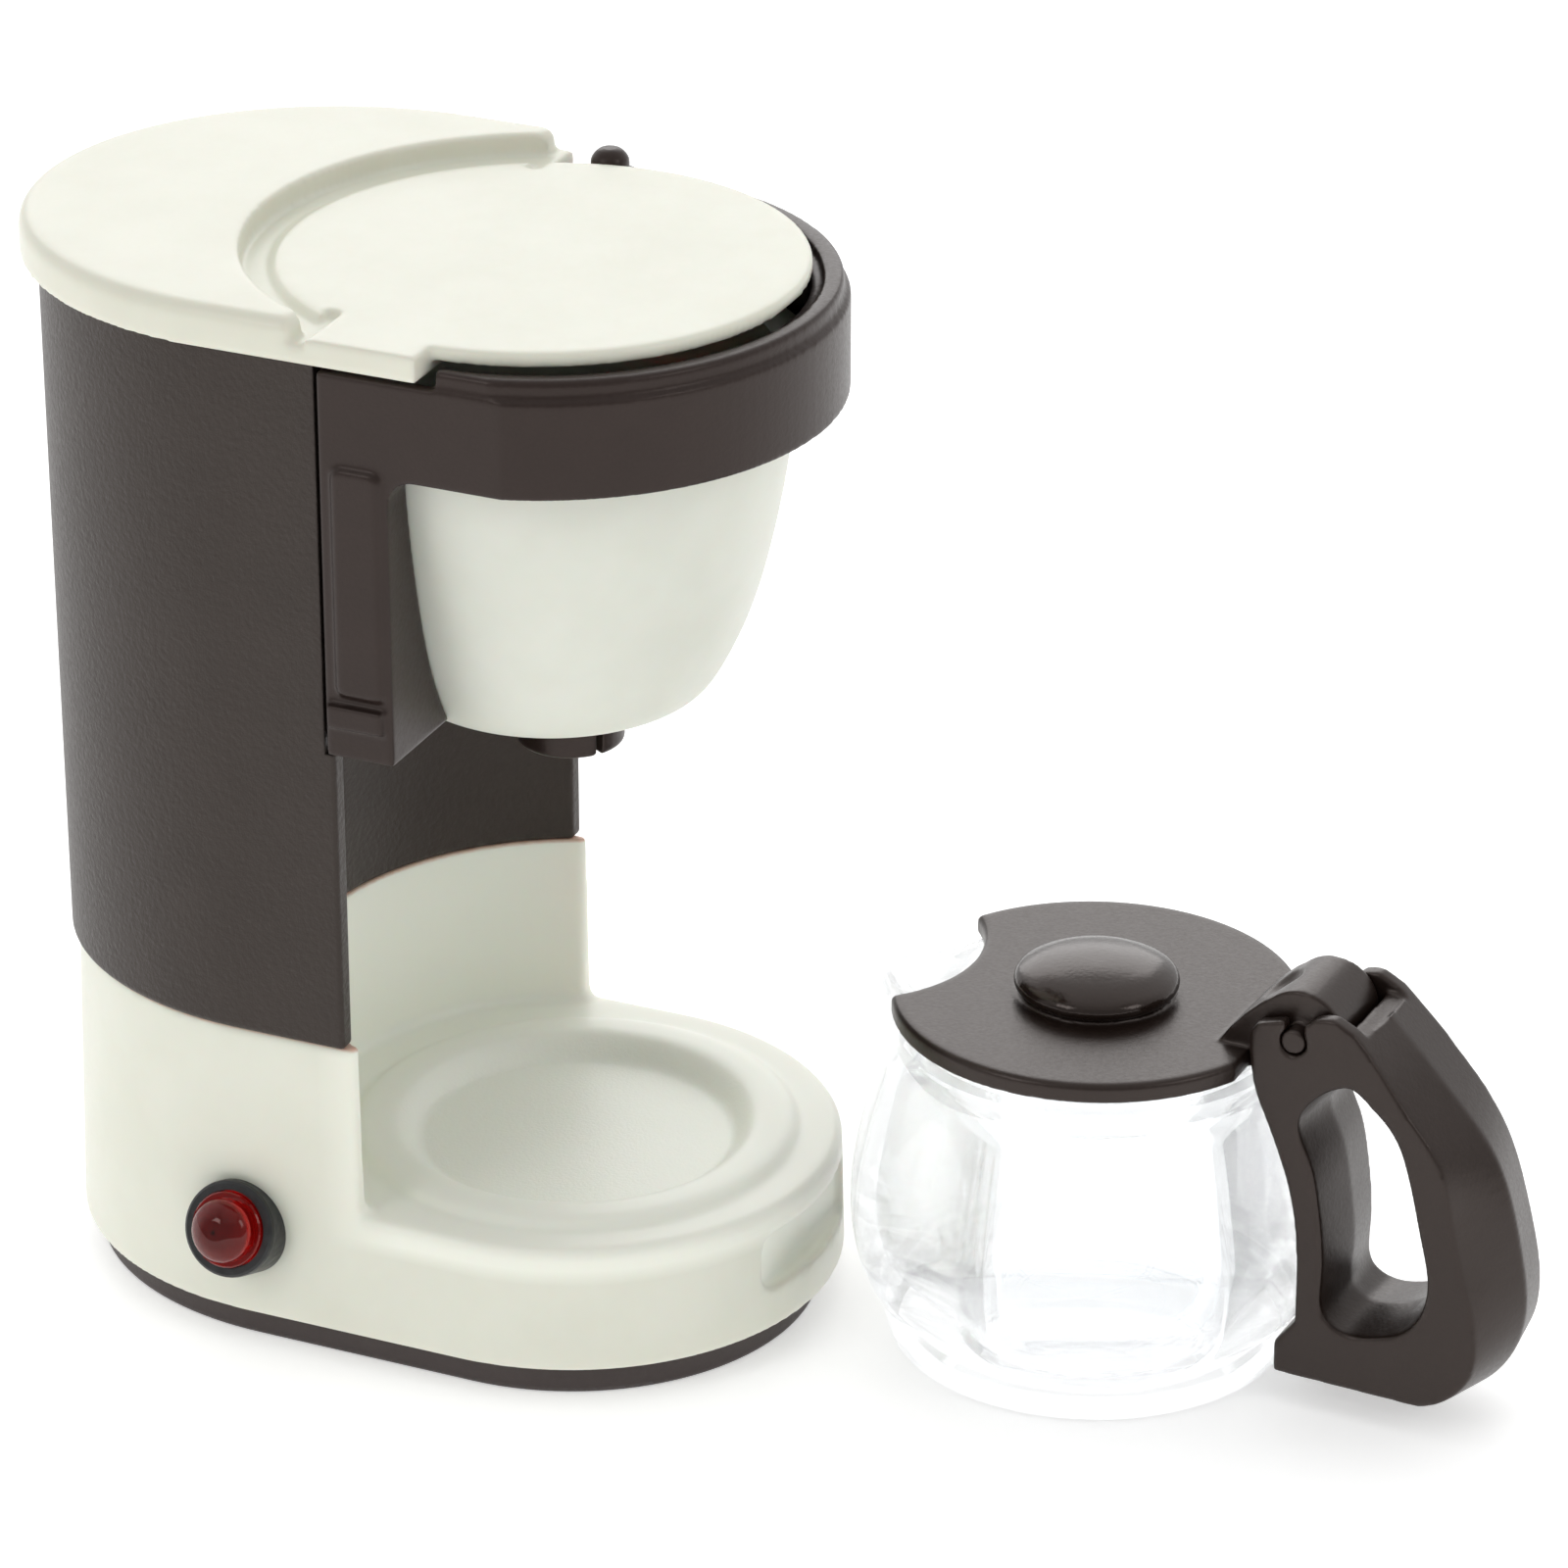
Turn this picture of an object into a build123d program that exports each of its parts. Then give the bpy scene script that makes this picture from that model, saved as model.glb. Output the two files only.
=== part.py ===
from build123d import *
import math
import os

# Miniature coffee machine with a removable glass jug, millimetres, +Z up.
# Origin: on the underside of the foot, on the axis of the warming plate, which
# is also the middle of the round front and of the hollow in the column.
# The machine's front faces -Y. The jug stands on the floor beside it.

os.makedirs("parts", exist_ok=True)

# ---------------------------------------------------------------- machine
YC = 11.70  # centre of the half oval that closes every plan at the back
# base housing
BASE_W0, BASE_W1 = 13.30, 12.95  # half width at the bottom edge and at the joint
BASE_RY0, BASE_RY1 = 14.50, 14.15  # back radius of the oval, same places
BASE_Z0, DECK_Z, JOINT_Z = 1.90, 8.45, 17.40
BASE_FRONT = 5.40  # front edges of the lower column
WALL = 1.40
BAY_R, BAY_R_LOW = 13.60, 13.35  # hollowed front of the column
PLATE_R, CREST_Z, DISH_R, DISH_Z = 10.86, 8.93, 7.60, 7.80
RECESS_Y, RECESS_W, RECESS_Z0, RECESS_Z1 = -11.95, 9.60, 4.00, 7.05
# foot
FOOT_W, FOOT_RY = 12.08, 13.80
LIP_W, LIP_RY = 11.74, 12.94
# column
COL_W0, COL_W1 = 13.16, 13.20
COL_RY0, COL_RY1 = 14.55, 14.72
COL_TOP, COL_WALL, COL_FRONT = 53.25, 1.25, 5.90
# cover
COV_W, COV_RY, COV_Z0, COV_Z1 = 14.19, 15.49, 52.95, 55.00
DISC_Y, DISC_R, DISC_Z0, DISC_Z1 = 1.05, 12.60, 53.55, 54.22
GROOVE_R0, GROOVE_R1, GROOVE_Z = 12.95, 14.20, 53.85
RAISED_Y, NOTCH_Y = 7.05, 6.30  # the side notch lies between these two
TAB_NEAR, TAB_FAR = 0.75, 6.20
# swing-out holder
HX, HY = 13.30, 3.90  # hinge axis, far front corner of the column
RING_Y, RING_R, RING_Z0, RING_Z1, RIM_Z = 0.85, 14.21, 47.68, 52.52, 53.43
RIM_R, RING_IN_R, LEDGE_Z = 13.90, 12.90, 48.50
HOLD_W, HOLD_REAR, HOLD_BACK_R = 13.60, 6.10, 13.25
HEAD_FRONT = 6.40  # front edges of the tower beside the holder
HOLD_Z0, WALL_Y, HOLD_WALL = 33.20, 2.60, 1.20
CUP_BACK_R = 12.05
PIN_R, BORE_R, KNUCKLE_R = 0.75, 0.80, 1.50
# lamp
LAMP_X, LAMP_Y, LAMP_Z = -13.14, 11.77, 6.63
LAMP_UP = 20.0  # its head looks up by this angle
# ---------------------------------------------------------------- jug
JX, JY, JA = 5.81, -25.18, -93.0  # jug axis, direction of its handle
LID_R, LID_Z0, LID_Z1 = 9.93, 17.38, 18.33
HANDLE_W = 6.40
HINGE_R, HINGE_Z = 11.58, 19.65
EAR_SLOT, LUG_W, BARREL_R = 4.70, 4.40, 2.22
TRUNNION_R, EYE_R = 0.62, 0.68

BASE_SCREWS = [(-7.9, -4.6), (7.9, -4.6), (-6.4, 19.6), (6.4, 19.6)]
COL_SCREWS = [(-9.3, 14.0), (9.3, 14.0)]
COV_SCREWS = [(-8.2, 17.2), (8.2, 17.2)]

ha = math.radians(JA)
cos_a, sin_a = math.cos(ha), math.sin(ha)
JUG = Plane(origin=(JX, JY, 0), x_dir=(cos_a, sin_a, 0), z_dir=(0, 0, 1))
# upright plane through the jug axis: local X runs along the handle, local Y is up
SIDE = Plane(origin=(JX, JY, 0), x_dir=(cos_a, sin_a, 0), z_dir=(sin_a, -cos_a, 0))
JUG_AXIS = Axis((JX, JY, 0), (0, 0, 1))
CUP_AXIS = Axis((0, RING_Y, 0), (0, 0, 1))
CUP_PLANE = Plane(origin=(0, RING_Y, 0), x_dir=(1, 0, 0), z_dir=(0, -1, 0))
# lamp head: local X runs inwards along its tilted axis and is LAMP_X at the wall
la = math.radians(LAMP_UP)
LAMP_IN = (math.cos(la), 0, -math.sin(la))
LAMP_AT = (LAMP_X * (1 - math.cos(la)), LAMP_Y, LAMP_Z + LAMP_X * math.sin(la))
LAMP_AXIS = Axis(LAMP_AT, LAMP_IN)
LAMP = Plane(origin=LAMP_AT, x_dir=LAMP_IN, z_dir=(0, -1, 0))


def oval(w, ry, z, y_front=0.0):
    """Straight sides closed by a half oval at the back and a flat front."""
    with BuildSketch(Plane.XY.offset(z), mode=Mode.PRIVATE) as plan:
        with BuildLine():
            Line((-w, y_front), (w, y_front))
            Line((w, y_front), (w, YC))
            EllipticalCenterArc((0, YC), w, ry, 0, arc_size=180)
            Line((-w, YC), (-w, y_front))
        make_face()
    return plan.sketch


def round_front(w, ry, z):
    """Half round front, straight sides, half oval back."""
    with BuildSketch(Plane.XY.offset(z), mode=Mode.PRIVATE) as plan:
        with BuildLine():
            ThreePointArc((-w, 0), (0, -w), (w, 0))
            Line((w, 0), (w, YC))
            EllipticalCenterArc((0, YC), w, ry, 0, arc_size=180)
            Line((-w, YC), (-w, 0))
        make_face()
    return plan.sketch


def disc(cx, cy, r, z):
    with BuildSketch(Plane.XY.offset(z), mode=Mode.PRIVATE) as s:
        with Locations((cx, cy)):
            Circle(r)
    return s.sketch


def rect(x0, x1, y0, y1, z):
    with BuildSketch(Plane.XY.offset(z), mode=Mode.PRIVATE) as s:
        with Locations(((x0 + x1) / 2, (y0 + y1) / 2)):
            Rectangle(x1 - x0, y1 - y0)
    return s.sketch


# ------------------------------------------------------------ base housing
with BuildPart() as base_housing:
    # platform and lower column in one drafted moulding
    loft(
        [
            round_front(BASE_W0, BASE_RY0, BASE_Z0),
            round_front(BASE_W1, BASE_RY1, JOINT_Z),
        ]
    )
    # everything in front of the column is cut down to the deck
    extrude(rect(-20, 20, -20, BASE_FRONT, DECK_Z), amount=20, mode=Mode.SUBTRACT)
    # hollowed front of the lower column, slightly flared upwards
    loft(
        [disc(0, 0, BAY_R_LOW, DECK_Z), disc(0, 0, BAY_R, JOINT_Z + 0.5)],
        mode=Mode.SUBTRACT,
    )
    # softened edges: deck, front corners of the column, foot of the hollow, foot line
    fillet(
        base_housing.edges().filter_by(
            lambda e: abs(e.center().Z - DECK_Z) < 0.01
            and e.center().Y < -3
            and e.length > 20
        ),
        radius=0.55,
    )
    fillet(
        base_housing.edges().filter_by(
            lambda e: e.length > 7
            and abs(e.center().Y - BASE_FRONT) < 0.03
            and abs(e.center().Z - (DECK_Z + JOINT_Z) / 2) < 1.2
        ),
        radius=0.2,
    )
    fillet(
        base_housing.edges().filter_by(
            lambda e: abs(e.center().Z - DECK_Z) < 0.01
            and e.center().Y > 3
            and e.length > 20
        ),
        radius=0.6,
    )
    fillet(
        base_housing.edges().filter_by_position(Axis.Z, BASE_Z0 - 0.01, BASE_Z0 + 0.01),
        radius=0.25,
    )
    # warming ring
    with BuildSketch(Plane.XZ) as ring_section:
        with BuildLine():
            Polyline(
                (0, DECK_Z - 0.3),
                (PLATE_R + 0.12, DECK_Z - 0.3),
                (PLATE_R + 0.12, DECK_Z),
            )
            Spline(
                (PLATE_R + 0.12, DECK_Z),
                (PLATE_R - 0.18, CREST_Z - 0.12),
                (PLATE_R - 0.65, CREST_Z),
                tangents=((0, 1), (-1, 0)),
            )
            Line((PLATE_R - 0.65, CREST_Z), (0, CREST_Z))
            Line((0, CREST_Z), (0, DECK_Z - 0.3))
        make_face()
    revolve(axis=Axis.Z)
    # dish
    with BuildSketch(Plane.XZ) as dish_section:
        with BuildLine():
            Line((0, DISH_Z), (DISH_R, DISH_Z))
            Spline(
                (DISH_R, DISH_Z),
                (8.15, DISH_Z + 0.42),
                (8.75, CREST_Z - 0.16),
                (9.35, CREST_Z),
                tangents=((1, 0.15), (1, 0.02)),
            )
            Polyline((9.35, CREST_Z), (9.35, CREST_Z + 1), (0, CREST_Z + 1), (0, DISH_Z))
        make_face()
    revolve(axis=Axis.Z, mode=Mode.SUBTRACT)
    # inside of the platform
    loft(
        [
            round_front(BASE_W0 - WALL, BASE_RY0 - WALL, BASE_Z0 - 0.01),
            round_front(BASE_W0 - WALL - 0.10, BASE_RY0 - WALL - 0.10, DECK_Z - 2.05),
        ],
        mode=Mode.SUBTRACT,
    )
    # inside of the lower column, closed above by a floor 1.2 thick
    with BuildSketch(Plane.XY.offset(DECK_Z - 2.2)) as column_room:
        add(oval(BASE_W1 - WALL, BASE_RY1 - WALL, 0, 8.2))
        Circle(BAY_R + WALL, mode=Mode.SUBTRACT)
    extrude(amount=JOINT_Z - 1.2 - (DECK_Z - 2.2), mode=Mode.SUBTRACT)
    # spigot that locates the tower
    with BuildSketch(Plane.XY.offset(JOINT_Z - 0.3)) as spigot:
        add(oval(COL_W0 - COL_WALL - 0.08, COL_RY0 - COL_WALL - 0.08, 0, 7.6))
        Circle(BAY_R + COL_WALL + 0.08, mode=Mode.SUBTRACT)
    extrude(amount=1.9)
    with BuildSketch(Plane.XY.offset(JOINT_Z)) as spigot_room:
        add(oval(COL_W0 - COL_WALL - 1.0, COL_RY0 - COL_WALL - 1.0, 0, 7.9))
        Circle(BAY_R + COL_WALL + 1.0, mode=Mode.SUBTRACT)
    extrude(amount=3.0, mode=Mode.SUBTRACT)
    for x, y in COL_SCREWS:
        extrude(disc(x, y, 1.60, JOINT_Z), amount=3, mode=Mode.SUBTRACT)
        extrude(disc(x, y, 0.74, JOINT_Z - 1.5), amount=4, mode=Mode.SUBTRACT)
    # thickening behind the front recess, then the recess itself
    with BuildSketch(Plane.XY.offset(BASE_Z0 + 1.5)) as recess_back:
        with Locations((0, RECESS_Y + 1.35)):
            Rectangle(12.4, 2.7)
        Circle(12.6, mode=Mode.INTERSECT)
    extrude(amount=4.0)
    with BuildSketch(Plane.XZ.offset(-RECESS_Y)) as recess:
        with Locations((0, (RECESS_Z0 + RECESS_Z1) / 2)):
            RectangleRounded(RECESS_W, RECESS_Z1 - RECESS_Z0, 0.95)
    extrude(amount=4, mode=Mode.SUBTRACT)
    # screw posts under the deck, webs for the two back ones, pilot holes
    for x, y in BASE_SCREWS:
        top = 7.2 if y < 0 else 9.0
        extrude(disc(x, y, 1.55, BASE_Z0), amount=top - BASE_Z0)
        if y > 0:
            extrude(rect(x - 0.45, x + 0.45, y, 23.4, BASE_Z0 + 1.5), amount=5.6)
        extrude(disc(x, y, 0.67, BASE_Z0 - 0.1), amount=5.2, mode=Mode.SUBTRACT)
    # seat and hole for the lamp clip
    with BuildSketch(Plane.YZ.offset(LAMP_X - 1)) as lamp_seat:
        with Locations((LAMP_Y, LAMP_Z)):
            Circle(2.62)
    extrude(amount=1.0, mode=Mode.SUBTRACT)
    with BuildSketch(Plane.YZ.offset(LAMP_X - 1)) as lamp_hole:
        with Locations((LAMP_Y, LAMP_Z)):
            Circle(1.85)
    extrude(amount=4, mode=Mode.SUBTRACT)
    # room for the collar behind the wall
    with BuildSketch(Plane.YZ.offset(LAMP_X + 1.65)) as collar_room:
        with Locations((LAMP_Y, LAMP_Z)):
            Circle(2.40)
    extrude(amount=1.30, mode=Mode.SUBTRACT)
base_housing.part.label = "base_housing"

# ------------------------------------------------------------- bottom plate
with BuildPart() as bottom_plate:
    extrude(round_front(FOOT_W, FOOT_RY, 0), amount=BASE_Z0)
    fillet(bottom_plate.edges().group_by(Axis.Z)[0], radius=0.35)
    extrude(round_front(LIP_W, LIP_RY, BASE_Z0 - 0.2), amount=1.1)
    extrude(round_front(LIP_W - 1.0, LIP_RY - 1.0, 1.15), amount=3, mode=Mode.SUBTRACT)
    for x, y in BASE_SCREWS:
        extrude(disc(x, y, 1.70, BASE_Z0), amount=2, mode=Mode.SUBTRACT)
        extrude(disc(x, y, 1.95, 0.6), amount=BASE_Z0 - 0.6)
    with Locations(*[Plane(origin=(x, y, 0), z_dir=(0, 0, -1)) for x, y in BASE_SCREWS]):
        CounterBoreHole(
            radius=0.74, counter_bore_radius=1.4, counter_bore_depth=0.95, depth=4
        )
bottom_plate.part.label = "bottom_plate"


# ------------------------------------------------------------------ screws
def screw_half(head_r, head_h, shank_r, length):
    """Half section of a self-tapping screw, head down, on the plane y = 0."""
    with BuildSketch(Plane.XZ, mode=Mode.PRIVATE) as s:
        with BuildLine():
            Polyline(
                (0, 0),
                (head_r - 0.2, 0),
                (head_r, 0.2),
                (head_r, head_h),
                (shank_r, head_h),
                (shank_r, head_h + length - 0.65),
                (0.15, head_h + length),
                (0, head_h + length),
                close=True,
            )
        make_face()
    return s.sketch


with BuildPart() as long_screw:
    revolve(screw_half(1.25, 0.70, 0.65, 5.4), axis=Axis.Z)
    with BuildSketch(Plane.XY) as cross:
        Rectangle(1.56, 0.32)
        Rectangle(0.32, 1.56)
    extrude(amount=0.36, mode=Mode.SUBTRACT)

with BuildPart() as short_screw:
    revolve(screw_half(1.25, 0.70, 0.65, 3.1), axis=Axis.Z)
    with BuildSketch(Plane.XY) as cross_short:
        Rectangle(1.56, 0.32)
        Rectangle(0.32, 1.56)
    extrude(amount=0.36, mode=Mode.SUBTRACT)

with BuildPart() as bottom_screws:
    with Locations(*[(x, y, 0.25) for x, y in BASE_SCREWS]):
        add(long_screw.part)
bottom_screws.part.label = "bottom_screws"

with BuildPart() as column_screws:
    with Locations(*[(x, y, JOINT_Z - 1.2 - 0.7) for x, y in COL_SCREWS]):
        add(long_screw.part)
column_screws.part.label = "column_screws"

with BuildPart() as cover_screws:
    with Locations(*[(x, y, 49.3) for x, y in COV_SCREWS]):
        add(short_screw.part)
cover_screws.part.label = "cover_screws"

# -------------------------------------------------------------- column shell
with BuildPart() as column_shell:
    loft(
        [
            oval(COL_W0, COL_RY0, JOINT_Z, COL_FRONT),
            oval(COL_W1, COL_RY1, COL_TOP, COL_FRONT),
        ]
    )
    extrude(disc(0, 0, BAY_R, JOINT_Z - 1), amount=COL_TOP - JOINT_Z + 2, mode=Mode.SUBTRACT)
    # soft front corners, full height
    fillet(
        column_shell.edges().filter_by(
            lambda e: e.length > 20 and abs(e.center().Y - COL_FRONT) < 0.1
        ),
        radius=0.22,
    )
    # soft lower edge round the outside, where the tower meets the base
    fillet(
        column_shell.edges().filter_by(
            lambda e: abs(e.center().Z - JOINT_Z) < 0.01 and e.center().Y > 8 and e.length > 30
        ),
        radius=0.30,
    )
    # the front edges step back beside the swing-out holder
    for sx in (-1, 1):
        extrude(
            rect(min(sx * 11, sx * 14), max(sx * 11, sx * 14), 5, HEAD_FRONT, 33.0),
            amount=52.65 - 33.0,
            mode=Mode.SUBTRACT,
        )
    # hollow inside
    with BuildSketch(Plane.XY.offset(JOINT_Z - 1)) as room:
        add(oval(COL_W0 - COL_WALL, COL_RY0 - COL_WALL, 0, 7.4))
        Circle(BAY_R + COL_WALL, mode=Mode.SUBTRACT)
    extrude(amount=COL_TOP - JOINT_Z + 2, mode=Mode.SUBTRACT)
    # screw bosses at the foot of the tower, ribbed to the side walls
    for x, y in COL_SCREWS:
        reach = 12.3 if x > 0 else -12.3
        extrude(disc(x, y, 1.45, JOINT_Z), amount=6.6)
        extrude(rect(min(x, reach), max(x, reach), y - 0.6, y + 0.6, JOINT_Z + 2.0), amount=4.6)
        extrude(disc(x, y, 0.67, JOINT_Z - 0.1), amount=5.9, mode=Mode.SUBTRACT)
    # two shelves under the cover
    with BuildSketch(Plane.XY.offset(50.0)) as shelves:
        for x, y in COV_SCREWS:
            reach = 13.0 if x > 0 else -13.0
            with Locations(((x + reach) / 2, y)):
                Rectangle(abs(reach - x), 3.2)
            with Locations((x, y)):
                Circle(1.6)
        add(oval(COL_W0 - 0.6, COL_RY0 - 0.6, 0, 7.4), mode=Mode.INTERSECT)
        with Locations(*COV_SCREWS):
            Circle(0.74, mode=Mode.SUBTRACT)
    extrude(amount=1.2)
    # hinge lugs for the swing-out holder: one under it, a thin one above it
    for z0, z1 in ((31.0, 33.05), (52.70, COL_TOP)):
        extrude(disc(HX, HY, KNUCKLE_R, z0), amount=z1 - z0)
        extrude(rect(12.30, 13.10, HY, 6.15, z0), amount=z1 - z0)
    extrude(disc(HX, HY, PIN_R, 30), amount=25, mode=Mode.SUBTRACT)
column_shell.part.label = "column_shell"

# ----------------------------------------------------------------- top cover
with BuildPart() as top_cover:
    # raised back plate: soft outer rim, rounded front ends
    with BuildSketch(Plane.XY.offset(COV_Z0)) as raised:
        add(oval(COV_W, COV_RY, 0, RAISED_Y))
        with Locations((0, DISC_Y)):
            Circle(GROOVE_R1, mode=Mode.SUBTRACT)
    extrude(amount=COV_Z1 - COV_Z0)
    fillet(
        top_cover.edges().filter_by(
            lambda e: abs(e.length - (COV_Z1 - COV_Z0)) < 0.01
            and abs(abs(e.center().X) - COV_W) < 0.01
        ),
        radius=0.60,
    )
    fillet(
        top_cover.edges()
        .filter_by(lambda e: abs(e.center().Z - COV_Z1) < 0.01 and e.length > 30)
        .sort_by(Axis.Y)[-1],
        radius=0.68,
    )
    # lower level: floor of the groove, near side tab
    extrude(oval(COV_W, COV_RY, COV_Z0, TAB_FAR), amount=GROOVE_Z - COV_Z0)
    extrude(rect(-COV_W, -9.8, TAB_NEAR, RAISED_Y + 0.6, COV_Z0), amount=GROOVE_Z - COV_Z0)
    extrude(rect(-COV_W, -9.8, TAB_NEAR, NOTCH_Y, COV_Z0), amount=DISC_Z1 - COV_Z0)
    # disc over the brewing chamber; behind the notches its edge leans outwards
    with BuildSketch(Plane(origin=(0, DISC_Y, 0), x_dir=(1, 0, 0), z_dir=(0, -1, 0))) as edge:
        with BuildLine():
            Polyline(
                (0, DISC_Z0),
                (DISC_R, DISC_Z0),
                (DISC_R, DISC_Z1 - 0.40),
            )
            ThreePointArc(
                (DISC_R, DISC_Z1 - 0.40),
                (DISC_R - 0.12, DISC_Z1 - 0.12),
                (DISC_R - 0.40, DISC_Z1),
            )
            Line((DISC_R - 0.40, DISC_Z1), (0, DISC_Z1))
            Line((0, DISC_Z1), (0, DISC_Z0))
        make_face()
    revolve(axis=Axis((0, DISC_Y, 0), (0, 0, 1)))
    with BuildSketch(
        Plane(origin=(0, DISC_Y, 0), x_dir=(-1, 0, 0), z_dir=(0, 1, 0))
    ) as lean:
        with BuildLine():
            Polyline(
                (0, GROOVE_Z - 0.2),
                (GROOVE_R0, GROOVE_Z - 0.2),
                (GROOVE_R0, GROOVE_Z),
                (DISC_R - 0.15, DISC_Z1 - 0.02),
                (0, DISC_Z1 - 0.02),
                close=True,
            )
        make_face()
    revolve(axis=Axis((0, DISC_Y, 0), (0, 0, 1)), revolution_arc=360, mode=Mode.ADD)
    # in front of the column the disc keeps its plain round edge
    with BuildSketch(Plane.XY.offset(COV_Z0 - 1)) as front_trim:
        with Locations((0, DISC_Y)):
            Circle(16)
            Circle(DISC_R, mode=Mode.SUBTRACT)
        with Locations((0, -20 + TAB_FAR)):
            Rectangle(60, 40, mode=Mode.INTERSECT)
        with Locations((-15 - 0.0, 20 + TAB_NEAR)):
            Rectangle(30, 40, mode=Mode.SUBTRACT)
    extrude(amount=4, mode=Mode.SUBTRACT)
    # notches at both ends of the groove
    with BuildSketch(Plane.XY.offset(GROOVE_Z)) as notches:
        for sx in (-1, 1):
            with Locations((sx * 12.35, (NOTCH_Y + RAISED_Y) / 2)):
                RectangleRounded(4.1, RAISED_Y - NOTCH_Y, 0.25)
    extrude(amount=2, mode=Mode.SUBTRACT)
    # pocket that fits over the tower
    with BuildSketch(Plane.XY.offset(COV_Z0 - 0.01)) as pocket:
        add(oval(COL_W1 + 0.06, COL_RY1 + 0.06, 0, COL_FRONT - 0.15))
        Circle(BAY_R - 0.06, mode=Mode.SUBTRACT)
    extrude(amount=COL_TOP - COV_Z0 + 0.01, mode=Mode.SUBTRACT)
    # screw bosses that reach down inside the tower
    for x, y in COV_SCREWS:
        extrude(disc(x, y, 1.35, 51.2), amount=COL_TOP - 51.2 + 0.3)
        extrude(disc(x, y, 0.67, 51.1), amount=2.6, mode=Mode.SUBTRACT)
top_cover.part.label = "top_cover"

# ---------------------------------------------------------------- filter cup
CUP_OUT = [  # radius, height of the bowl's outside
    (6.35, 32.40),
    (7.45, 32.80),
    (8.42, 34.15),
    (9.35, 36.15),
    (10.62, 40.50),
    (11.30, 44.10),
    (11.80, 48.50),
]


def bowl(pts, z_top):
    """Half section of a bowl about its own axis."""
    with BuildSketch(CUP_PLANE, mode=Mode.PRIVATE) as s:
        with BuildLine():
            Spline(*pts)
            Line(pts[-1], (pts[-1][0], z_top))
            Line((pts[-1][0], z_top), (0, z_top))
            Line((0, z_top), (0, pts[0][1]))
            Line((0, pts[0][1]), pts[0])
        make_face()
    return s.sketch


CUP_IN = [(r - 1.05, z + (1.0 if z < 33 else 0.4)) for r, z in CUP_OUT]
cup_room = revolve(bowl(CUP_IN, 50.0), axis=CUP_AXIS, mode=Mode.PRIVATE) & extrude(
    disc(0, 0, CUP_BACK_R - 1.0, 32.0), amount=20, mode=Mode.PRIVATE
)

with BuildPart() as filter_cup:
    revolve(bowl(CUP_OUT, 48.60), axis=CUP_AXIS)
    # flange that rests on the ledge inside the ring
    extrude(disc(0, RING_Y, 12.55, 48.56), amount=0.75)
    # flattened back, so that the bowl fits the hollow of the tower
    extrude(disc(0, 0, CUP_BACK_R, 30), amount=25, mode=Mode.INTERSECT)
    # inside of the bowl
    add(cup_room, mode=Mode.SUBTRACT)
    # hole for the nozzle
    extrude(disc(0, 0, 1.22, 32), amount=3, mode=Mode.SUBTRACT)
filter_cup.part.label = "filter_cup"

with BuildPart() as drip_nozzle:
    extrude(disc(0, 0, 2.62, 29.50), amount=32.40 - 29.50)
    fillet(drip_nozzle.edges().group_by(Axis.Z)[0], radius=0.25)
    extrude(disc(0, 0, 1.20, 32.35), amount=1.75)
    extrude(disc(0, 0, 1.95, 29.4), amount=1.9, mode=Mode.SUBTRACT)
    extrude(disc(0, 0, 0.60, 29.4), amount=6, mode=Mode.SUBTRACT)
    # two narrow slits in the skirt
    with BuildSketch(Plane.XY.offset(29.3)) as slits:
        with PolarLocations(2.4, 2, start_angle=-122, angular_range=128):
            Rectangle(1.4, 0.34)
    extrude(amount=1.5, mode=Mode.SUBTRACT)
drip_nozzle.part.label = "drip_nozzle"

# -------------------------------------------------------------- holder frame
cup_clear = revolve(
    bowl([(r + 0.05, z) for r, z in CUP_OUT], 49.0), axis=CUP_AXIS, mode=Mode.PRIVATE
)

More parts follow.
